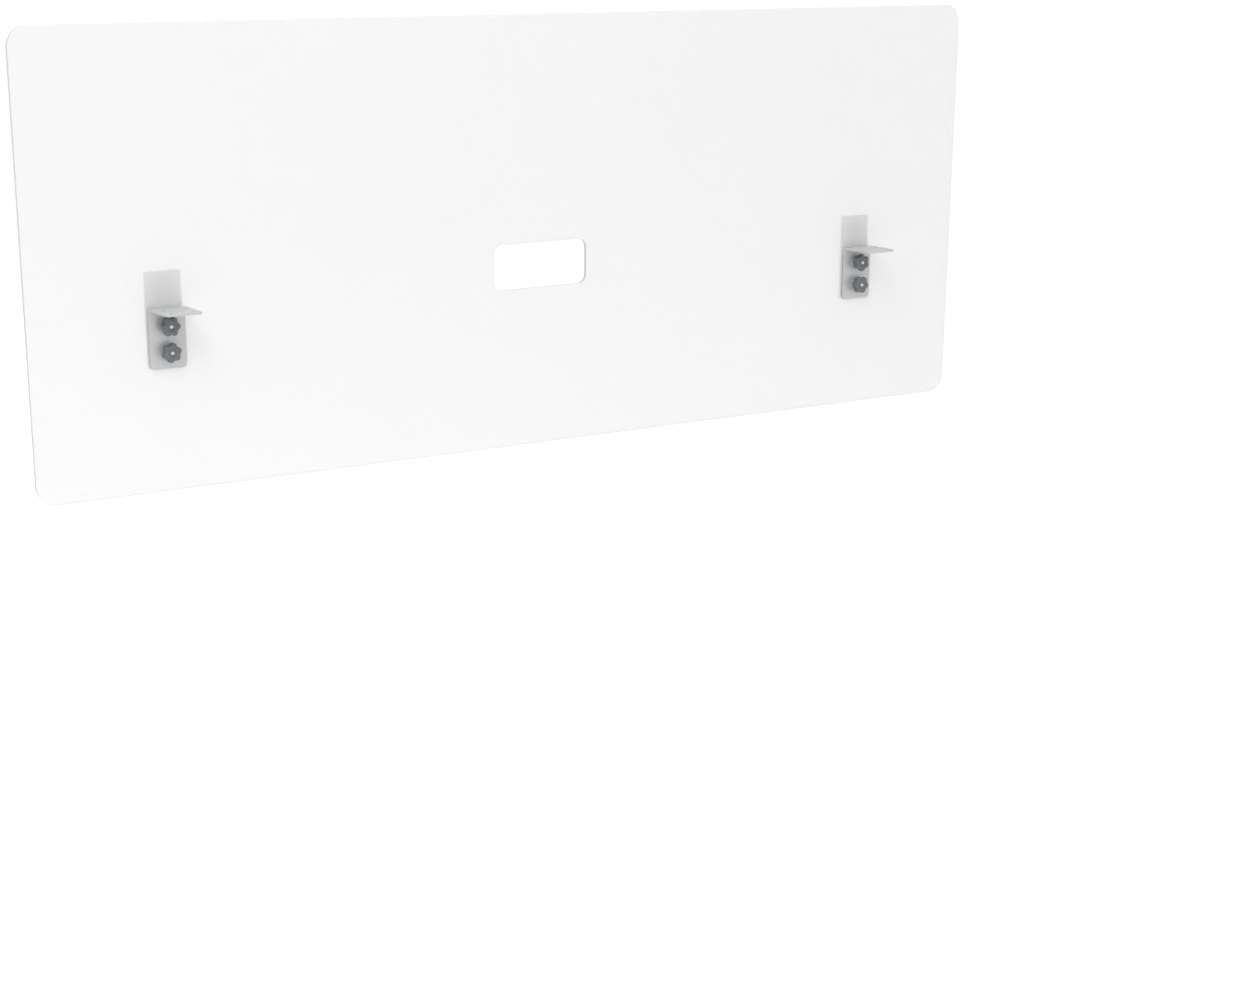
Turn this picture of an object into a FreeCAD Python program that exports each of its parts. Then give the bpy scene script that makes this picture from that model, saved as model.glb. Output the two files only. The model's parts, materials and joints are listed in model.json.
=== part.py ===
"""Desk privacy panel: a frosted acrylic sheet that hangs behind a desktop's rear edge.

The sheet stands above the desktop as a screen and reaches below it as a modesty panel. Two brackets hold it.
Each bracket is a steel angle under the desktop, a clamp plate behind the sheet, and two carriage bolts that
run through plate, sheet and angle and are tightened by hand knobs on the user's side. The bolts pass through
upright slots in the angle, so the sheet can be set a little higher or lower before the knobs are tightened.

Frame, in millimetres: the origin is the middle of the desktop's top rear edge, on the front face of the
sheet. +X runs along the sheet to the user's right, +Y points away from the user, and +Z is up.
"""

import FreeCAD, Part

import math
import os

V = FreeCAD.Vector

# ---- The desktop that the panel fits ----
DESK_THICKNESS = 28.6

# ---- Acrylic sheet ----
PANEL_WIDTH = 1512.0
PANEL_HEIGHT = 597.0
PANEL_THICKNESS = 6.0
PANEL_ABOVE_DESK = 326.5
PANEL_CORNER_RADIUS = 28.0
PANEL_EDGE_EASE = 0.5

# ---- Cable slot in the middle of the sheet ----
SLOT_WIDTH = 152.4
SLOT_ABOVE_DESK = 16.2
SLOT_BELOW_DESK = 18.7
SLOT_CORNER_RADIUS = 12.7

# ---- Angle brackets and clamp plates ----
BRACKET_INSET = 187.3
BRACKET_WIDTH = 50.8
STEEL_THICKNESS = 3.0
STEEL_EDGE_EASE = 0.35
FLANGE_DEPTH = 62.0
ANGLE_CORNER_RADIUS = 6.0
BEND_INNER_RADIUS = 2.0
WEB_BOTTOM_MARGIN = 13.8
PLATE_ABOVE_DESK = 17.8
PLATE_CORNER_RADIUS = 1.5
HEIGHT_ADJUSTMENT = 5.0

# ---- Holes for the wood screws that go up into the desktop ----
SCREW_HOLE_RADIUS = 2.6
SCREW_SIDE_MARGIN = 10.4
SCREW_FRONT_MARGIN = 9.0
SCREW_ROW_PITCH = 24.0

# ---- Soft parts between the steel and the sheet ----
PAD_THICKNESS = 1.0
PAD_INSET = 0.8
BUMPER_RADIUS = 16.0
BUMPER_CENTRE_DROP = 6.0
BUMPER_EDGE_EASE = 0.25

# ---- Carriage bolts, bushings and washers, two of each on a bracket ----
BOLT_RADIUS = 3.0
BOLT_HOLE_CLEARANCE = 0.2
BOLT_SLOT_CLEARANCE = 0.3
BOLT_END_CHAMFER = 0.7
HEAD_OVERHANG = 5.0
HEAD_HEIGHT = 3.4
HEAD_RIM = 0.5
NECK_CLEARANCE = 0.1
BUSHING_WALL = 1.3
BUSHING_CLEARANCE = 0.1
BUSHING_FLANGE_RIM = 4.5
BUSHING_RECESS = 0.2
WASHER_RIM = 5.8
WASHER_THICKNESS = 1.6
WASHER_EDGE_EASE = 0.25

# ---- Hand knobs with their threaded inserts ----
KNOB_RADIUS = 13.0
KNOB_HEIGHT = 14.0
KNOB_COLLAR_WALL = 3.4
KNOB_COLLAR_HEIGHT = 4.5
KNOB_LOBES = 6
KNOB_SCALLOP_RADIUS = 5.0
KNOB_SCALLOP_DEPTH = 2.4
KNOB_LOBE_FILLET = 1.5
KNOB_RIM_FILLET = 1.2
KNOB_TOP_CLEARANCE = 2.4
KNOB_GAP = 8.0
KNOB_REST_TURN = 17.0
INSERT_WALL = 1.45
INSERT_COVER = 2.0
THREAD_CLEARANCE = 0.05
BOLT_END_RECESS = 0.8

# ---- Levels in Z, worked out from the sizes above ----
PANEL_BOTTOM = PANEL_ABOVE_DESK - PANEL_HEIGHT
DESK_UNDERSIDE = -DESK_THICKNESS
SLOT_RADIUS = BOLT_RADIUS + BOLT_SLOT_CLEARANCE
UPPER_LEVEL = DESK_UNDERSIDE - STEEL_THICKNESS - KNOB_TOP_CLEARANCE - HEIGHT_ADJUSTMENT - KNOB_RADIUS
LOWER_LEVEL = UPPER_LEVEL - 2 * KNOB_RADIUS - KNOB_GAP
WEB_BOTTOM = LOWER_LEVEL - SLOT_RADIUS - HEIGHT_ADJUSTMENT - WEB_BOTTOM_MARGIN
LEVELS = {"upper": UPPER_LEVEL, "lower": LOWER_LEVEL}

# ---- Places in X ----
SIDES = {"left": BRACKET_INSET - PANEL_WIDTH / 2, "right": PANEL_WIDTH / 2 - BRACKET_INSET}

# ---- Faces in Y, from the user's side to the rear ----
WEB_REAR = -PAD_THICKNESS
WEB_FRONT = WEB_REAR - STEEL_THICKNESS
FLANGE_FRONT = WEB_REAR - FLANGE_DEPTH
KNOB_BASE = WEB_FRONT - WASHER_THICKNESS
KNOB_FRONT = KNOB_BASE - KNOB_HEIGHT
BOLT_END = KNOB_FRONT + BOLT_END_RECESS
PLATE_FRONT = PANEL_THICKNESS + PAD_THICKNESS
PLATE_REAR = PLATE_FRONT + STEEL_THICKNESS

# ---- Radii that fit one another ----
BOLT_HOLE_RADIUS = BOLT_RADIUS + BOLT_HOLE_CLEARANCE
BUSHING_RADIUS = BOLT_HOLE_RADIUS + BUSHING_WALL
THREAD_RADIUS = BOLT_RADIUS + THREAD_CLEARANCE
INSERT_RADIUS = THREAD_RADIUS + INSERT_WALL

# ---- How far a cutter runs past the faces it cuts, and what counts as the same place ----
OVERCUT = 4.0
NEAR = 1e-4


def face_in_xz(x0, x1, z0, z1, radius, y):
    """An upright rectangle with four round corners."""
    bow = radius * (1 - math.sqrt(0.5))
    corners = [
        (V(x0 + radius, y, z0), V(x0 + bow, y, z0 + bow), V(x0, y, z0 + radius)),
        (V(x0, y, z1 - radius), V(x0 + bow, y, z1 - bow), V(x0 + radius, y, z1)),
        (V(x1 - radius, y, z1), V(x1 - bow, y, z1 - bow), V(x1, y, z1 - radius)),
        (V(x1, y, z0 + radius), V(x1 - bow, y, z0 + bow), V(x1 - radius, y, z0)),
    ]
    edges = []
    for number, (start, middle, end) in enumerate(corners):
        following = corners[(number + 1) % len(corners)][0]
        edges.append(Part.Arc(start, middle, end).toShape())
        edges.append(Part.LineSegment(end, following).toShape())
    return Part.Face(Part.Wire(edges))


def slab(x0, x1, z0, z1, radius, y0, y1):
    """An upright plate with round corners, from y0 to y1."""
    return face_in_xz(x0, x1, z0, z1, radius, y0).extrude(V(0, y1 - y0, 0))


def rod(radius, x, z, y0, y1):
    """A cylinder along Y, from y0 to y1."""
    return Part.makeCylinder(radius, y1 - y0, V(x, y0, z), V(0, 1, 0))


def box_at(x, z, half_x, half_z, y0, y1):
    """A block centred on (x, z), from y0 to y1."""
    return Part.makeBox(2 * half_x, y1 - y0, 2 * half_z, V(x - half_x, y0, z - half_z))


def edges_in_y_planes(shape, *planes):
    """The edges that lie wholly in one of the planes y = value."""
    found = []
    for edge in shape.Edges:
        low, high = edge.BoundBox.YMin, edge.BoundBox.YMax
        if any(abs(low - y) < NEAR and abs(high - y) < NEAR for y in planes):
            found.append(edge)
    return found


def edges_along_y(shape):
    """The straight edges that run along Y."""
    return [e for e in shape.Edges if e.BoundBox.XLength < NEAR and e.BoundBox.ZLength < NEAR]


def upright_slot(x, z, y0, y1):
    """The cutter for a slot in which a bolt slides up and down by HEIGHT_ADJUSTMENT."""
    slot = box_at(x, z, SLOT_RADIUS, HEIGHT_ADJUSTMENT, y0, y1)
    for end in (-HEIGHT_ADJUSTMENT, HEIGHT_ADJUSTMENT):
        slot = slot.fuse(rod(SLOT_RADIUS, x, z + end, y0, y1))
    return slot.removeSplitter()


def privacy_panel():
    """The acrylic sheet, with its cable slot and a hole for each bushing."""
    half = PANEL_WIDTH / 2
    sheet = slab(-half, half, PANEL_BOTTOM, PANEL_ABOVE_DESK, PANEL_CORNER_RADIUS, 0, PANEL_THICKNESS)
    cable_slot = slab(
        -SLOT_WIDTH / 2,
        SLOT_WIDTH / 2,
        DESK_UNDERSIDE - SLOT_BELOW_DESK,
        SLOT_ABOVE_DESK,
        SLOT_CORNER_RADIUS,
        -OVERCUT,
        PANEL_THICKNESS + OVERCUT,
    )
    sheet = sheet.cut(cable_slot)
    sheet = sheet.makeFillet(PANEL_EDGE_EASE, edges_in_y_planes(sheet, 0, PANEL_THICKNESS))
    hole_radius = BUSHING_RADIUS + BUSHING_CLEARANCE
    for x in SIDES.values():
        for z in LEVELS.values():
            sheet = sheet.cut(rod(hole_radius, x, z, -OVERCUT, PANEL_THICKNESS + OVERCUT))
    return sheet


def folded_strip(x):
    """The angle bracket's folded strip, with its bend radii, before corners and holes."""
    left = x - BRACKET_WIDTH / 2
    outer = BEND_INNER_RADIUS + STEEL_THICKNESS
    flange_under = DESK_UNDERSIDE - STEEL_THICKNESS
    bend_y = WEB_REAR - outer
    bend_z = DESK_UNDERSIDE - outer
    diagonal = math.sqrt(0.5)

    def at(y, z):
        return V(left, y, z)

    outside_bend = at(bend_y + outer * diagonal, bend_z + outer * diagonal)
    inside_bend = at(bend_y + BEND_INNER_RADIUS * diagonal, bend_z + BEND_INNER_RADIUS * diagonal)
    outline = [
        Part.LineSegment(at(FLANGE_FRONT, DESK_UNDERSIDE), at(bend_y, DESK_UNDERSIDE)),
        Part.Arc(at(bend_y, DESK_UNDERSIDE), outside_bend, at(WEB_REAR, bend_z)),
        Part.LineSegment(at(WEB_REAR, bend_z), at(WEB_REAR, WEB_BOTTOM)),
        Part.LineSegment(at(WEB_REAR, WEB_BOTTOM), at(WEB_FRONT, WEB_BOTTOM)),
        Part.LineSegment(at(WEB_FRONT, WEB_BOTTOM), at(WEB_FRONT, bend_z)),
        Part.Arc(at(WEB_FRONT, bend_z), inside_bend, at(bend_y, flange_under)),
        Part.LineSegment(at(bend_y, flange_under), at(FLANGE_FRONT, flange_under)),
        Part.LineSegment(at(FLANGE_FRONT, flange_under), at(FLANGE_FRONT, DESK_UNDERSIDE)),
    ]
    wire = Part.Wire([curve.toShape() for curve in outline])
    return Part.Face(wire).extrude(V(BRACKET_WIDTH, 0, 0))


def free_corners(strip):
    """The edges through the metal at the four free corners of a folded strip."""
    found = []
    for edge in strip.Edges:
        box = edge.BoundBox
        at_flange_tip = box.YLength < NEAR and abs(box.YMin - FLANGE_FRONT) < NEAR
        at_web_foot = box.ZLength < NEAR and abs(box.ZMin - WEB_BOTTOM) < NEAR
        if box.XLength < NEAR and (at_flange_tip or at_web_foot):
            found.append(edge)
    return found


def sharp_edges(shape):
    """The edges whose two faces meet at an angle."""
    found = []
    for edge in shape.Edges:
        point = edge.valueAt((edge.FirstParameter + edge.LastParameter) / 2)
        normals = []
        for face in shape.ancestorsOfType(edge, Part.Face):
            u, v = face.Surface.parameter(point)
            normals.append(face.normalAt(u, v))
        if len(normals) == 2 and normals[0].getAngle(normals[1]) > math.radians(30):
            found.append(edge)
    return found


def angle_bracket(x):
    """The steel angle: a flange that is screwed up under the desktop, and a web with two upright slots."""
    angle = folded_strip(x)
    angle = angle.makeFillet(ANGLE_CORNER_RADIUS, free_corners(angle))
    angle = angle.makeFillet(STEEL_EDGE_EASE, sharp_edges(angle))
    for z in LEVELS.values():
        angle = angle.cut(upright_slot(x, z, WEB_FRONT - OVERCUT, WEB_REAR + OVERCUT))
    spacing = BRACKET_WIDTH - 2 * SCREW_SIDE_MARGIN
    depth = STEEL_THICKNESS + 2 * OVERCUT
    for side in (-0.5, 0.5):
        for row in (0, 1):
            y = FLANGE_FRONT + SCREW_FRONT_MARGIN + row * SCREW_ROW_PITCH
            top = V(x + side * spacing, y, DESK_UNDERSIDE + OVERCUT)
            angle = angle.cut(Part.makeCylinder(SCREW_HOLE_RADIUS, depth, top, V(0, 0, -1)))
    return angle


def bracket_pad(x):
    """The rubber sheet between an angle bracket's web and the front of the panel."""
    half = BRACKET_WIDTH / 2 - PAD_INSET
    top = DESK_UNDERSIDE - BEND_INNER_RADIUS - STEEL_THICKNESS - PAD_INSET
    radius = ANGLE_CORNER_RADIUS - PAD_INSET
    pad = slab(x - half, x + half, WEB_BOTTOM + PAD_INSET, top, radius, WEB_REAR, 0)
    for z in LEVELS.values():
        pad = pad.cut(upright_slot(x, z, WEB_REAR - OVERCUT, OVERCUT))
    return pad


def clamp_plate(x):
    """The steel plate behind the sheet, with a square hole for each carriage bolt's neck."""
    half = BRACKET_WIDTH / 2
    plate = slab(x - half, x + half, WEB_BOTTOM, PLATE_ABOVE_DESK, PLATE_CORNER_RADIUS, PLATE_FRONT, PLATE_REAR)
    plate = plate.makeFillet(STEEL_EDGE_EASE, edges_in_y_planes(plate, PLATE_FRONT, PLATE_REAR))
    hole = BOLT_RADIUS + NECK_CLEARANCE
    for z in LEVELS.values():
        plate = plate.cut(box_at(x, z, hole, hole, PLATE_FRONT - OVERCUT, PLATE_REAR + OVERCUT))
    return plate


def plate_bumper(x):
    """The round rubber pad that keeps a clamp plate's upper end off the sheet."""
    bumper = rod(BUMPER_RADIUS, x, -BUMPER_CENTRE_DROP, PANEL_THICKNESS, PLATE_FRONT)
    return bumper.makeFillet(BUMPER_EDGE_EASE, edges_in_y_planes(bumper, PANEL_THICKNESS, PLATE_FRONT))


def bushing(x, z):
    """The flanged nylon sleeve that lines a bolt hole in the sheet and spaces the clamp plate off it."""
    flange = rod(BUSHING_RADIUS + BUSHING_FLANGE_RIM, x, z, PANEL_THICKNESS, PLATE_FRONT)
    sleeve = rod(BUSHING_RADIUS, x, z, BUSHING_RECESS, PLATE_FRONT)
    bore = rod(BOLT_HOLE_RADIUS, x, z, -OVERCUT, PLATE_FRONT + OVERCUT)
    return flange.fuse(sleeve).cut(bore).removeSplitter()


def carriage_bolt(x, z):
    """A domed head behind the clamp plate, a square neck in the plate, and a shank towards the user."""
    radius = BOLT_RADIUS + HEAD_OVERHANG
    rise = HEAD_HEIGHT - HEAD_RIM
    dome_radius = (radius * radius + rise * rise) / (2 * rise)
    half_turn = math.asin(radius / dome_radius) / 2
    shoulder = V(dome_radius * math.sin(half_turn), PLATE_REAR + HEAD_HEIGHT - dome_radius, 0)
    shoulder.y += dome_radius * math.cos(half_turn)
    axis_base = V(0, PLATE_REAR, 0)
    apex = V(0, PLATE_REAR + HEAD_HEIGHT, 0)
    rim_top = V(radius, PLATE_REAR + HEAD_RIM, 0)
    rim_base = V(radius, PLATE_REAR, 0)
    outline = [
        Part.Arc(apex, shoulder, rim_top).toShape(),
        Part.LineSegment(rim_top, rim_base).toShape(),
        Part.LineSegment(rim_base, axis_base).toShape(),
        Part.LineSegment(axis_base, apex).toShape(),
    ]
    head = Part.Face(Part.Wire(outline)).revolve(V(0, 0, 0), V(0, 1, 0), 360)
    head.translate(V(x, 0, z))
    shank = rod(BOLT_RADIUS, x, z, BOLT_END, PLATE_REAR)
    shank = shank.makeChamfer(BOLT_END_CHAMFER, edges_in_y_planes(shank, BOLT_END))
    neck = box_at(x, z, BOLT_RADIUS, BOLT_RADIUS, PLATE_FRONT, PLATE_REAR)
    return head.fuse([neck, shank]).removeSplitter()


def washer(x, z):
    """The flat washer between an angle bracket's web and a knob."""
    ring = rod(BOLT_HOLE_RADIUS + WASHER_RIM, x, z, KNOB_BASE, WEB_FRONT)
    ring = ring.makeFillet(WASHER_EDGE_EASE, edges_in_y_planes(ring, KNOB_BASE, WEB_FRONT))
    return ring.cut(rod(BOLT_HOLE_RADIUS, x, z, KNOB_BASE - OVERCUT, WEB_FRONT + OVERCUT))


def knob(x, z, turn):
    """A lobed plastic hand knob with a collar, hollowed for its threaded insert."""
    grip_rear = KNOB_BASE - KNOB_COLLAR_HEIGHT
    grip = rod(KNOB_RADIUS, x, z, KNOB_FRONT, grip_rear)
    scallop_distance = KNOB_RADIUS - KNOB_SCALLOP_DEPTH + KNOB_SCALLOP_RADIUS
    for number in range(KNOB_LOBES):
        angle = 2 * math.pi * number / KNOB_LOBES
        scallop_x = x + scallop_distance * math.cos(angle)
        scallop_z = z + scallop_distance * math.sin(angle)
        grip = grip.cut(rod(KNOB_SCALLOP_RADIUS, scallop_x, scallop_z, KNOB_FRONT - OVERCUT, grip_rear + OVERCUT))
    grip = grip.makeFillet(KNOB_LOBE_FILLET, edges_along_y(grip))
    grip = grip.makeFillet(KNOB_RIM_FILLET, edges_in_y_planes(grip, KNOB_FRONT, grip_rear))
    collar = rod(INSERT_RADIUS + KNOB_COLLAR_WALL, x, z, grip_rear - KNOB_RIM_FILLET, KNOB_BASE)
    solid = grip.fuse(collar).removeSplitter()
    solid = solid.cut(rod(INSERT_RADIUS, x, z, KNOB_FRONT + INSERT_COVER, KNOB_BASE + OVERCUT))
    solid = solid.cut(rod(THREAD_RADIUS, x, z, KNOB_FRONT - OVERCUT, KNOB_BASE))
    solid.rotate(V(x, 0, z), V(0, 1, 0), turn)
    return solid


def knob_insert(x, z):
    """The brass insert inside a knob, which runs on the bolt's thread."""
    tube = rod(INSERT_RADIUS, x, z, KNOB_FRONT + INSERT_COVER, KNOB_BASE)
    return tube.cut(rod(THREAD_RADIUS, x, z, KNOB_FRONT, KNOB_BASE + OVERCUT))


def build():
    """Every sub-part's solid, by name."""
    shapes = {"privacy_panel": privacy_panel()}
    knobs_made = 0
    for side, x in SIDES.items():
        shapes[side + "_angle_bracket"] = angle_bracket(x)
        shapes[side + "_bracket_pad"] = bracket_pad(x)
        shapes[side + "_clamp_plate"] = clamp_plate(x)
        shapes[side + "_plate_bumper"] = plate_bumper(x)
        for level, z in LEVELS.items():
            place = side + "_" + level
            shapes[place + "_bushing"] = bushing(x, z)
            shapes[place + "_carriage_bolt"] = carriage_bolt(x, z)
            shapes[place + "_washer"] = washer(x, z)
            shapes[place + "_knob"] = knob(x, z, KNOB_REST_TURN * knobs_made)
            shapes[place + "_knob_insert"] = knob_insert(x, z)
            knobs_made += 1
    return shapes


def main():
    """Writes one STEP file for each sub-part."""
    os.makedirs("parts", exist_ok=True)
    for name, shape in build().items():
        if not shape.isValid() or len(shape.Solids) != 1:
            raise ValueError(name + " is not one valid solid")
        shape.exportStep("parts/" + name + ".step")


main()
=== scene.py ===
import json
import math

import bmesh
import bpy
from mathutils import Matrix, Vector


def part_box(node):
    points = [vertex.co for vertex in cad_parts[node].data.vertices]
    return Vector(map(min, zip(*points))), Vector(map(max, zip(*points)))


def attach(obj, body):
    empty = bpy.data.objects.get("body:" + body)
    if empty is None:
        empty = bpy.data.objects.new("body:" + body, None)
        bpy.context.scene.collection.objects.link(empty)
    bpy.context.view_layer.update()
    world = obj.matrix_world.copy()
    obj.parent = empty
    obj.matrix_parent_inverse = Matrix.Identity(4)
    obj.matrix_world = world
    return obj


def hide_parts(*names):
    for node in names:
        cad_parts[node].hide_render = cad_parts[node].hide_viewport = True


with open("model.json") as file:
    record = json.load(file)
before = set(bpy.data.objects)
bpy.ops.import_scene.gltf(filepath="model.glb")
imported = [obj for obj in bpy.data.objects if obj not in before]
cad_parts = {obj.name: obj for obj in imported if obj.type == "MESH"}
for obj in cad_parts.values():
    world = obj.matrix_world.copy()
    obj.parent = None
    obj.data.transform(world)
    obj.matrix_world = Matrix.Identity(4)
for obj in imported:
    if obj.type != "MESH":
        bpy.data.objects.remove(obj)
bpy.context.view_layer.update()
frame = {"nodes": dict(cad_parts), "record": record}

MM = 0.001

# ---- Camera, in the row's frame ----
CAMERA_PLACE = (-1.7493, -2.8344, 0.4375)
CAMERA_YAW = math.radians(32.312)
CAMERA_PITCH = math.radians(-16.91)
CAMERA_LENS = 67.5
CAMERA_SENSOR = 36.0
CAMERA_SHIFT = (0.0484, 0.1181)
CAMERA_REACH = 200.0

# ---- Studio ----
FLOOR_LEVEL = -0.732
FLOOR_RADIUS = 30.0
FLOOR_ALBEDO = 0.94
ZENITH_LIGHT = 1.38
# The sky's light as a share of the zenith's, by the height (0 to 1) of the direction looked in.
SKY_SHARES = ((0.0, 0.75), (0.15, 0.75), (0.45, 0.56), (1.0, 1.0))
# Each lamp: name, place, size and power.
LAMPS = (
    ("key", (-2.5, -2.5, 3.0), 2.0, 54.0),
    ("overhead", (-0.9, 0.0, 2.6), 0.7, 22.0),
)

# ---- Frosted acrylic ----
SHEET_COLOURS = ((0.767, 0.767, 0.767), (0.781, 0.781, 0.781))
SHEET_ROUGHNESS = (0.15, 0.19)
SHEET_CLEARNESS = 0.28
SHEET_IOR = 1.49
SHEET_CLOUDS = 5.0
SHEET_SMUDGES = 14.0
SHEET_GRAIN = 2200.0
SHEET_GRAIN_STRENGTH = 0.12
CUT_EDGE_COLOUR = (0.62, 0.62, 0.62)
CUT_EDGE_ROUGHNESS = 0.1
# How squarely a point must look along Y to count as fully edge, and as fully face.
CUT_EDGE_FADE = (0.35, 0.8)

# ---- Every finish ----
GRAIN_DEPTH = 0.05 * MM
# A rubbed edge: how far a bevelled normal leans there, and which part of the noise wears through.
WEAR_LEAN = (0.9, 0.999)
WEAR_PATCHES = (0.45, 0.6)
BEVEL_SAMPLES = 4

# ---- Carriage bolts ----
# The record's coupling gives a knob's travel for each radian of turn, so a whole turn is one thread pitch.
THREAD_PITCH = frame["record"]["behaviour"]["couplings"][0]["ratio"] * math.tau
THREAD_DEPTH = 0.55 * MM
THREAD_SEGMENTS = 48
THREAD_ROWS_PER_PITCH = 8
THREAD_TO_PLATE = 1.5 * THREAD_PITCH
THREAD_RUN_IN = 0.8 * THREAD_PITCH
# The crest's and the flank's share of half a pitch. The rest is the root.
CREST_SHARE = 0.25
FLANK_SHARE = 0.62
TIP_SHARE = 0.92
SHANK_COLLAR = 0.2 * MM
HEAD_RIM = 0.5 * MM
HEAD_CHAMFER = 0.15 * MM
DOME_STEPS = 12

# ---- Hand knobs ----
KNOB_LOBES = 6
KNOB_SEGMENTS = 96
KNOB_TURN = math.radians(17.0)
LOBE_DEPTH = 0.19
LOBE_SHARPNESS = 1.35
GRIP_SHARE = 0.66
CROWN_DEPTH = 1.1 * MM
CROWN_STEPS = 4
FRONT_FILLET = 1.6 * MM
REAR_FILLET = 1.3 * MM
FILLET_STEPS = 6
DISH_DEPTH = 0.9 * MM
DISH_MARGIN = 0.5 * MM
DISH_WALL = 0.7 * MM
DISH_LIP = 0.4 * MM
DISH_RIM_DEPTH = 0.2 * DISH_DEPTH
LOBE_GROWTH = 0.8
COUNTERSINK = 0.5 * MM
COLLAR_FLARE = 0.7 * MM
COLLAR_FLARE_LENGTH = 1.4 * MM
COLLAR_CHAMFER = 0.4 * MM


# ---- Materials ----

def new_material(name):
    """An empty node material. Returns it with its node tree and its Principled shader."""
    material = bpy.data.materials.new(name)
    material.use_nodes = True
    tree = material.node_tree
    return material, tree, tree.nodes["Principled BSDF"]


def feed(tree, socket, value):
    """Gives a socket a number, a colour, or the output of another node."""
    if isinstance(value, tuple):
        socket.default_value = (*value, 1.0)
    elif isinstance(value, float):
        socket.default_value = value
    else:
        tree.links.new(value, socket)


def noise(tree, scale, detail=3.0):
    """A noise pattern of about scale features a metre, fixed to the piece."""
    node = tree.nodes.new("ShaderNodeTexNoise")
    node.inputs["Scale"].default_value = scale
    node.inputs["Detail"].default_value = detail
    feed(tree, node.inputs["Vector"], tree.nodes.new("ShaderNodeTexCoord").outputs["Object"])
    return node.outputs["Fac"]


def ramp(tree, value, low, high, out_low, out_high):
    """Maps value from low..high to out_low..out_high, clamped."""
    node = tree.nodes.new("ShaderNodeMapRange")
    node.inputs["From Min"].default_value = low
    node.inputs["From Max"].default_value = high
    node.inputs["To Min"].default_value = out_low
    node.inputs["To Max"].default_value = out_high
    feed(tree, node.inputs["Value"], value)
    return node.outputs["Result"]


def mix(tree, kind, factor, first, second):
    """Mixes two colours, of kind RGBA, or two numbers, of kind FLOAT."""
    node = tree.nodes.new("ShaderNodeMix")
    node.data_type = kind
    feed(tree, node.inputs["Factor"], factor)
    feed(tree, node.inputs["A"], first)
    feed(tree, node.inputs["B"], second)
    return node.outputs["Result"]


def calculate(tree, operation, first, second=0.0):
    """The result of a sum on two numbers, or on one for an operation that takes one."""
    node = tree.nodes.new("ShaderNodeMath")
    node.operation = operation
    feed(tree, node.inputs[0], first)
    feed(tree, node.inputs[1], second)
    return node.outputs["Value"]


def grain(tree, shader, scale, strength):
    """A fine bump over the whole surface, of about scale features a metre."""
    node = tree.nodes.new("ShaderNodeBump")
    node.inputs["Strength"].default_value = strength
    node.inputs["Distance"].default_value = GRAIN_DEPTH
    feed(tree, node.inputs["Height"], noise(tree, scale))
    feed(tree, shader.inputs["Normal"], node.outputs["Normal"])


def mottled(name, colours, roughness, scales, grain_strength, metallic=0.0):
    """A material that wanders between two colours and two roughnesses under a fine grain.

    scales are the features a metre of the colour, the roughness and the grain."""
    material, tree, shader = new_material(name)
    colour_scale, roughness_scale, grain_scale = scales
    spots = ramp(tree, noise(tree, colour_scale), 0.35, 0.65, 0.0, 1.0)
    feed(tree, shader.inputs["Base Color"], mix(tree, "RGBA", spots, *colours))
    feed(tree, shader.inputs["Roughness"], ramp(tree, noise(tree, roughness_scale), 0.3, 0.7, *roughness))
    shader.inputs["Metallic"].default_value = metallic
    grain(tree, shader, grain_scale, grain_strength)
    return material, tree, shader


def wear_edges(tree, shader, radius, patch_scale, worn_colour):
    """Rubs a material through to a worn colour, in patches along its sharp edges."""
    bevel = tree.nodes.new("ShaderNodeBevel")
    bevel.samples = BEVEL_SAMPLES
    bevel.inputs["Radius"].default_value = radius
    lean = tree.nodes.new("ShaderNodeVectorMath")
    lean.operation = "DOT_PRODUCT"
    feed(tree, lean.inputs[0], bevel.outputs["Normal"])
    feed(tree, lean.inputs[1], tree.nodes.new("ShaderNodeNewGeometry").outputs["True Normal"])
    edges = ramp(tree, lean.outputs["Value"], *WEAR_LEAN, 1.0, 0.0)
    patches = ramp(tree, noise(tree, patch_scale), *WEAR_PATCHES, 0.0, 1.0)
    worn = calculate(tree, "MULTIPLY", edges, patches)
    colour = shader.inputs["Base Color"].links[0].from_socket
    feed(tree, shader.inputs["Base Color"], mix(tree, "RGBA", worn, colour, worn_colour))


def frosted_acrylic():
    """A milky sheet with satin faces, which look along Y, and smoother cut edges all round."""
    material, tree, shader = new_material("frosted acrylic")
    parts = tree.nodes.new("ShaderNodeSeparateXYZ")
    feed(tree, parts.inputs["Vector"], tree.nodes.new("ShaderNodeTexCoord").outputs["Normal"])
    edge = ramp(tree, calculate(tree, "ABSOLUTE", parts.outputs["Y"]), *CUT_EDGE_FADE, 1.0, 0.0)
    face_colour = mix(tree, "RGBA", noise(tree, SHEET_CLOUDS), *SHEET_COLOURS)
    feed(tree, shader.inputs["Base Color"], mix(tree, "RGBA", edge, face_colour, CUT_EDGE_COLOUR))
    satin = ramp(tree, noise(tree, SHEET_SMUDGES, detail=5.0), 0.35, 0.7, *SHEET_ROUGHNESS)
    feed(tree, shader.inputs["Roughness"], mix(tree, "FLOAT", edge, satin, CUT_EDGE_ROUGHNESS))
    shader.inputs["IOR"].default_value = SHEET_IOR
    # Only an outer face scatters light back. What is already inside the sheet goes on to the next face.
    inside = tree.nodes.new("ShaderNodeNewGeometry").outputs["Backfacing"]
    feed(tree, shader.inputs["Transmission Weight"], mix(tree, "FLOAT", inside, SHEET_CLEARNESS, 1.0))
    grain(tree, shader, SHEET_GRAIN, SHEET_GRAIN_STRENGTH)
    return material


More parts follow.
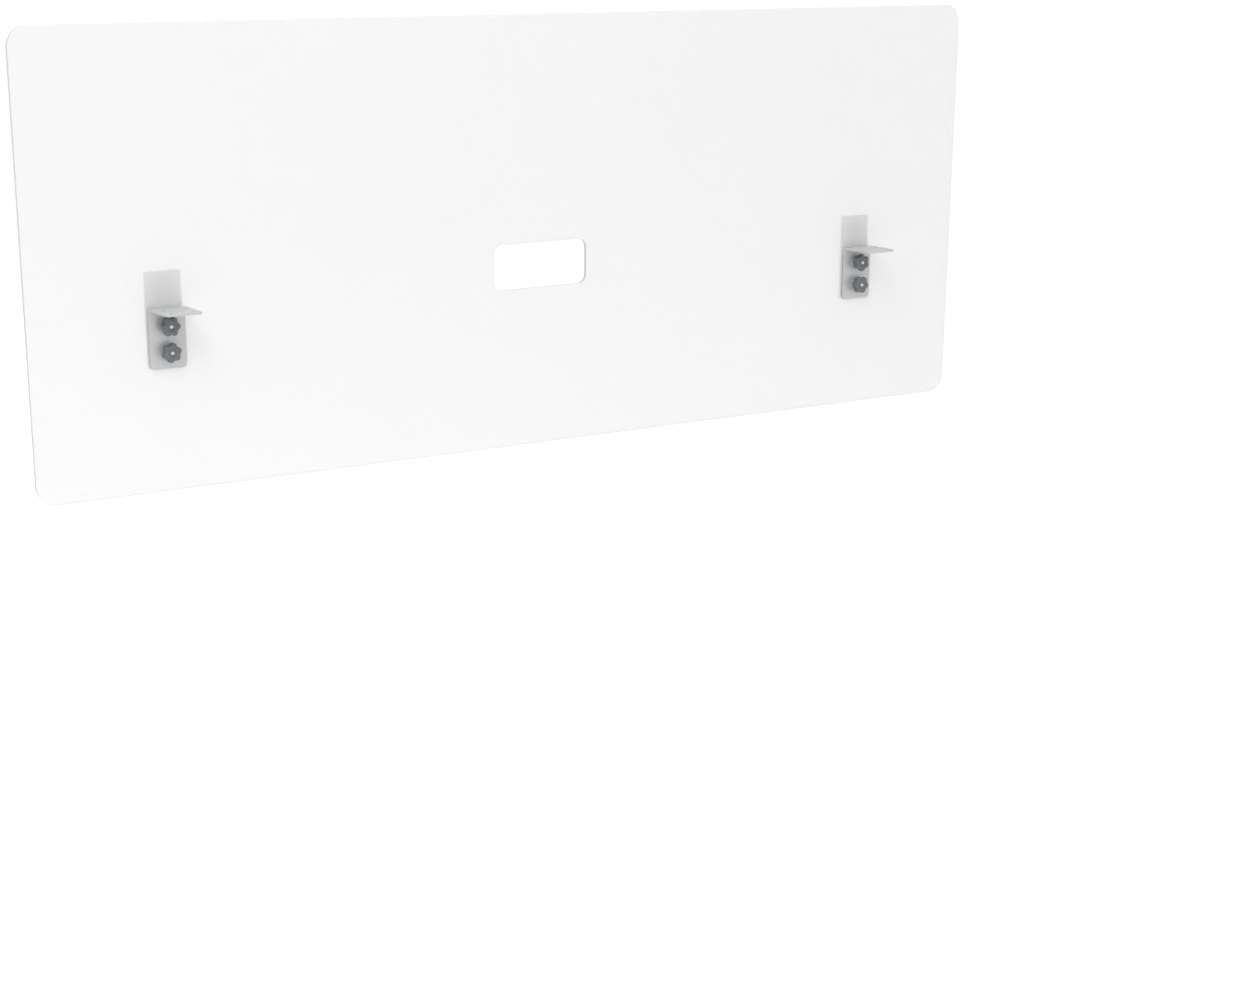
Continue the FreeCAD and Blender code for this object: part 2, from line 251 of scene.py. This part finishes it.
def powder_coated_steel():
    colours = ((0.455, 0.465, 0.475), (0.515, 0.525, 0.535))
    material, tree, shader = mottled(
        "powder coated steel", colours, (0.36, 0.5), (2600.0, 90.0, 1300.0), 0.3, metallic=0.35)
    wear_edges(tree, shader, 0.5 * MM, 160.0, (0.62, 0.62, 0.61))
    return material


def knob_plastic():
    colours = ((0.105, 0.108, 0.112), (0.13, 0.133, 0.137))
    material, tree, shader = mottled("knob plastic", colours, (0.42, 0.56), (500.0, 250.0, 2600.0), 0.35)
    wear_edges(tree, shader, 0.8 * MM, 120.0, (0.19, 0.19, 0.195))
    return material


def finishes():
    """The material of each of the record's slots."""
    plain = {
        "zinc_plated_steel": mottled("zinc plated steel", ((0.46, 0.47, 0.49), (0.58, 0.58, 0.57)),
                                     (0.22, 0.42), (220.0, 500.0, 900.0), 0.08, metallic=1.0),
        "black_rubber": mottled("black rubber", ((0.018, 0.018, 0.019), (0.03, 0.03, 0.031)),
                                (0.7, 0.85), (300.0, 120.0, 1800.0), 0.3),
        "grey_rubber": mottled("grey rubber", ((0.225, 0.225, 0.23), (0.28, 0.28, 0.285)),
                               (0.7, 0.85), (300.0, 120.0, 1800.0), 0.3),
        "white_nylon": mottled("white nylon", ((0.76, 0.75, 0.71), (0.82, 0.81, 0.78)),
                               (0.42, 0.55), (250.0, 400.0, 1500.0), 0.12),
        "brass_insert": mottled("brass insert", ((0.60, 0.42, 0.18), (0.74, 0.56, 0.28)),
                                (0.25, 0.4), (400.0, 700.0, 1400.0), 0.08, metallic=1.0),
    }
    by_slot = {slot: made[0] for slot, made in plain.items()}
    by_slot["frosted_acrylic"] = frosted_acrylic()
    by_slot["powder_coated_steel"] = powder_coated_steel()
    by_slot["knob_plastic"] = knob_plastic()
    return by_slot


def dress_cad_nodes(by_slot):
    """Gives every CAD node the material of its slot."""
    slot_of = {row["node"]: row["material_slot"] for row in frame["record"]["subparts"]}
    for name, node in frame["nodes"].items():
        node.data.materials.clear()
        node.data.materials.append(by_slot[slot_of[name]])


# ---- Mesh work ----

def centre_of(node):
    """The middle of a CAD node's box."""
    low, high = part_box(node)
    return (low + high) / 2


def radii(node, axis, y_low, y_high):
    """The least and greatest distance of a CAD node's points from a line along Y, between two planes."""
    distances = []
    for vertex in frame["nodes"][node].data.vertices:
        if y_low <= vertex.co.y <= y_high:
            distances.append(math.hypot(vertex.co.x - axis.x, vertex.co.z - axis.z))
    return min(distances), max(distances)


def ring_points(axis, y, segments, radius_at, start=0.0):
    """A ring of points around a line along Y, at a radius that depends on the share of a turn gone round."""
    points = []
    for number in range(segments):
        turn = number / segments
        angle = math.tau * turn + start
        radius = radius_at(turn)
        points.append((axis.x + radius * math.cos(angle), y, axis.z + radius * math.sin(angle)))
    return points


def join_rings(shape, rings, closed=False):
    """Joins rings of as many points each with quads. Returns the rings' vertices."""
    placed = [[shape.verts.new(point) for point in ring] for ring in rings]
    pairs = list(zip(placed, placed[1:]))
    if closed:
        pairs.append((placed[-1], placed[0]))
    for ring, following in pairs:
        count = len(ring)
        for number in range(count):
            after = (number + 1) % count
            shape.faces.new((ring[number], ring[after], following[after], following[number]))
    return placed


def close_ring(shape, ring, point):
    """Closes a ring with a fan of triangles around a point."""
    middle = shape.verts.new(point)
    for number, vertex in enumerate(ring):
        shape.faces.new((vertex, ring[(number + 1) % len(ring)], middle))


def finish_piece(name, shape, body, node, material, smooth_angle):
    """Turns a bmesh into a piece that stands for a CAD node and rides on its body."""
    bmesh.ops.recalc_face_normals(shape, faces=shape.faces)
    mesh = bpy.data.meshes.new(name)
    shape.to_mesh(mesh)
    shape.free()
    mesh.materials.append(material)
    mesh.shade_smooth()
    mesh.set_sharp_from_angle(angle=math.radians(smooth_angle))
    piece = bpy.data.objects.new(name, mesh)
    bpy.context.scene.collection.objects.link(piece)
    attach(piece, body)
    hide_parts(node)


# ---- Carriage bolts ----

def thread_radius(turns, crest, root):
    """A 60 degree thread's radius, by the place in its pitch: a flat crest, two flanks and a flat root."""
    place = abs((turns % 1.0) * 2 - 1)
    rise = min(max((place - CREST_SHARE) / FLANK_SHARE, 0.0), 1.0)
    return crest + (root - crest) * rise


def thread_rings(axis, tip, end, crest, root):
    """The rings of a thread that runs in from a chamfered tip and runs out into a plain shank."""
    rings = [ring_points(axis, tip, THREAD_SEGMENTS, lambda turn: root * TIP_SHARE)]
    rows = round((end - tip) / THREAD_PITCH * THREAD_ROWS_PER_PITCH)
    for row in range(1, rows + 1):
        y = tip + (end - tip) * row / rows
        run_in = min((y - tip) / THREAD_RUN_IN, 1.0)
        run_out = min((end - y) / THREAD_PITCH, 1.0)
        limit = root * TIP_SHARE + (crest - root * TIP_SHARE) * run_in

        def radius_at(turn, y=y, run_out=run_out, limit=limit):
            cut = thread_radius(y / THREAD_PITCH - turn, crest, root)
            return min(crest + (cut - crest) * run_out, limit)

        rings.append(ring_points(axis, y, THREAD_SEGMENTS, radius_at))
    return rings


def square_radius(turn, half):
    """The distance from the middle of a square to its side, by the share of a turn gone round."""
    return half / math.cos(((turn * 4 + 0.5) % 1.0 - 0.5) * math.pi / 2)


def threaded_bolt(place, material):
    """A carriage bolt with a domed head, a square neck and a cut thread, for the CAD bolt at this place."""
    node = place + "_carriage_bolt"
    axis = centre_of(node)
    low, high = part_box(node)
    plate_low, plate_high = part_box(place.split("_")[0] + "_clamp_plate")
    head = radii(node, axis, plate_high.y + HEAD_RIM / 2, high.y)[1]
    crest = radii(node, axis, low.y, plate_low.y - THREAD_PITCH)[1]
    root = crest - THREAD_DEPTH

    def add(radius_at, y):
        rings.append(ring_points(axis, y, THREAD_SEGMENTS, radius_at))

    rings = thread_rings(axis, low.y, plate_low.y - THREAD_TO_PLATE, crest, root)
    add(lambda turn: crest, plate_low.y - SHANK_COLLAR)
    add(lambda turn: crest, plate_low.y)
    # The square neck in the plate, and the domed head behind it.
    add(lambda turn: square_radius(turn, crest), plate_low.y)
    add(lambda turn: square_radius(turn, crest), plate_high.y)
    add(lambda turn: head - HEAD_CHAMFER, plate_high.y)
    add(lambda turn: head, plate_high.y + HEAD_CHAMFER)
    rim = plate_high.y + HEAD_RIM
    sphere = (head ** 2 + (high.y - rim) ** 2) / (2 * (high.y - rim))
    for step in range(DOME_STEPS):
        lean = math.asin(head / sphere) * (1 - step / DOME_STEPS)
        add(lambda turn: sphere * math.sin(lean), high.y - sphere * (1 - math.cos(lean)))

    shape = bmesh.new()
    placed = join_rings(shape, rings)
    close_ring(shape, placed[0], (axis.x, low.y, axis.z))
    close_ring(shape, placed[-1], (axis.x, high.y, axis.z))
    finish_piece(place + "_threaded_bolt", shape, "panel", node, material, 35.0)


# ---- Hand knobs ----

def knob_outline(front, rear, outer, bore, pocket, collar, insert_front):
    """A knob's section, from its bore round to its bore.

    Each point has a radius, a place in Y, and how strongly the lobes show there, from 0 to 1."""
    floor = front + DISH_DEPTH
    rim = pocket + DISH_MARGIN + DISH_WALL
    lip = rim + DISH_LIP
    outline = [
        (bore, floor + COUNTERSINK, 0.0),
        (bore + COUNTERSINK, floor, 0.0),
        (pocket + DISH_MARGIN, floor, 0.0),
        (rim, front + DISH_RIM_DEPTH, 0.0),
        (lip, front, 0.0),
    ]
    # The crowned face falls away as the square of the way out, and the lobes grow with it.
    for step in range(1, CROWN_STEPS + 1):
        out = step / CROWN_STEPS
        radius = lip + (outer - FRONT_FILLET - lip) * out
        outline.append((radius, front + CROWN_DEPTH * out ** 2, out ** LOBE_GROWTH))
    for step in range(1, FILLET_STEPS + 1):
        lean = math.pi / 2 * step / FILLET_STEPS
        outline.append((outer - FRONT_FILLET * (1 - math.sin(lean)),
                        front + CROWN_DEPTH + FRONT_FILLET * (1 - math.cos(lean)), 1.0))
    grip_rear = front + (rear - front) * GRIP_SHARE
    for step in range(FILLET_STEPS + 1):
        lean = math.pi / 2 * step / FILLET_STEPS
        outline.append((outer - REAR_FILLET * (1 - math.cos(lean)),
                        grip_rear - REAR_FILLET * (1 - math.sin(lean)), 1.0))
    flare = collar + COLLAR_FLARE
    middle = (flare + outer - REAR_FILLET) / 2
    outline += [
        (middle, grip_rear, 0.5),
        (flare, grip_rear + COLLAR_FLARE_LENGTH / 3, 0.0),
        (collar, grip_rear + COLLAR_FLARE_LENGTH, 0.0),
        (collar, rear - COLLAR_CHAMFER, 0.0),
        (collar - COLLAR_CHAMFER, rear, 0.0),
        (pocket, rear, 0.0),
        (pocket, insert_front, 0.0),
        (bore, insert_front, 0.0),
    ]
    return outline


def hand_knob(place, number, material):
    """A moulded six-lobed knob with a crowned, dished face, for the CAD knob at this place."""
    node = place + "_knob"
    insert = place + "_knob_insert"
    low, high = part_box(node)
    insert_low, insert_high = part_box(insert)
    axis = centre_of(insert)
    outer = radii(node, axis, low.y, high.y)[1]
    bore, pocket = radii(insert, axis, insert_low.y, insert_high.y)
    collar = radii(node, axis, high.y - COLLAR_CHAMFER / 4, high.y)[1]

    rings = []
    for radius, y, lobes in knob_outline(low.y, high.y, outer, bore, pocket, collar, insert_low.y):
        def radius_at(turn):
            hollow = 0.5 - 0.5 * math.cos(KNOB_LOBES * math.tau * turn)
            return radius * (1 - lobes * LOBE_DEPTH * hollow ** LOBE_SHARPNESS)

        rings.append(ring_points(axis, y, KNOB_SEGMENTS, radius_at, KNOB_TURN * number))
    shape = bmesh.new()
    join_rings(shape, rings, closed=True)
    finish_piece(place + "_hand_knob", shape, "knob_" + place, node, material, 40.0)


# ---- Studio and camera ----

def make_floor():
    material, _, shader = new_material("floor")
    shader.inputs["Base Color"].default_value = (FLOOR_ALBEDO, FLOOR_ALBEDO, FLOOR_ALBEDO, 1.0)
    shader.inputs["Roughness"].default_value = 0.9
    shader.inputs["Specular IOR Level"].default_value = 0.1
    shape = bmesh.new()
    bmesh.ops.create_circle(shape, cap_ends=True, radius=FLOOR_RADIUS, segments=96)
    mesh = bpy.data.meshes.new("studio_floor")
    shape.to_mesh(mesh)
    shape.free()
    mesh.materials.append(material)
    floor = bpy.data.objects.new("studio_floor", mesh)
    floor.location = (0, 0, FLOOR_LEVEL)
    bpy.context.scene.collection.objects.link(floor)


def make_sky():
    """A white sky with a softer band between its horizon and its zenith, which shapes the bright metal."""
    world = bpy.data.worlds.new("studio")
    world.use_nodes = True
    tree = world.node_tree
    direction = tree.nodes.new("ShaderNodeSeparateXYZ")
    feed(tree, direction.inputs["Vector"], tree.nodes.new("ShaderNodeTexCoord").outputs["Generated"])
    sky = tree.nodes.new("ShaderNodeValToRGB")
    feed(tree, sky.inputs["Fac"], direction.outputs["Z"])
    stops = sky.color_ramp.elements
    while len(stops) < len(SKY_SHARES):
        stops.new(1.0)
    for stop, (height, share) in zip(stops, SKY_SHARES):
        stop.position = height
        stop.color = (share, share, share, 1.0)
    background = tree.nodes["Background"]
    feed(tree, background.inputs["Color"], sky.outputs["Color"])
    background.inputs["Strength"].default_value = ZENITH_LIGHT
    bpy.context.scene.world = world


def make_lamp(name, place, size, power):
    """A round soft lamp that points at the middle of the desk's rear edge."""
    light = bpy.data.lights.new(name, "AREA")
    light.shape = "DISK"
    light.size = size
    light.energy = power
    lamp = bpy.data.objects.new(name, light)
    lamp.location = place
    lamp.rotation_mode = "QUATERNION"
    lamp.rotation_quaternion = (-Vector(place)).to_track_quat("-Z", "Y")
    bpy.context.scene.collection.objects.link(lamp)


def make_camera():
    data = bpy.data.cameras.new("camera")
    data.lens = CAMERA_LENS
    data.sensor_width = CAMERA_SENSOR
    data.shift_x, data.shift_y = CAMERA_SHIFT
    data.clip_end = CAMERA_REACH
    camera = bpy.data.objects.new("camera", data)
    camera.location = CAMERA_PLACE
    forward = Vector((
        math.sin(CAMERA_YAW) * math.cos(CAMERA_PITCH),
        math.cos(CAMERA_YAW) * math.cos(CAMERA_PITCH),
        math.sin(CAMERA_PITCH),
    ))
    camera.rotation_mode = "QUATERNION"
    camera.rotation_quaternion = forward.to_track_quat("-Z", "Y")
    bpy.context.scene.collection.objects.link(camera)
    bpy.context.scene.camera = camera


by_slot = finishes()
dress_cad_nodes(by_slot)
places = [side + "_" + level for side in ("left", "right") for level in ("upper", "lower")]
for number, place in enumerate(places):
    threaded_bolt(place, by_slot["zinc_plated_steel"])
    hand_knob(place, number, by_slot["knob_plastic"])
make_floor()
make_sky()
for lamp in LAMPS:
    make_lamp(*lamp)
make_camera()
bpy.context.scene.view_settings.view_transform = "Standard"
bpy.context.scene.cycles.use_denoising = True
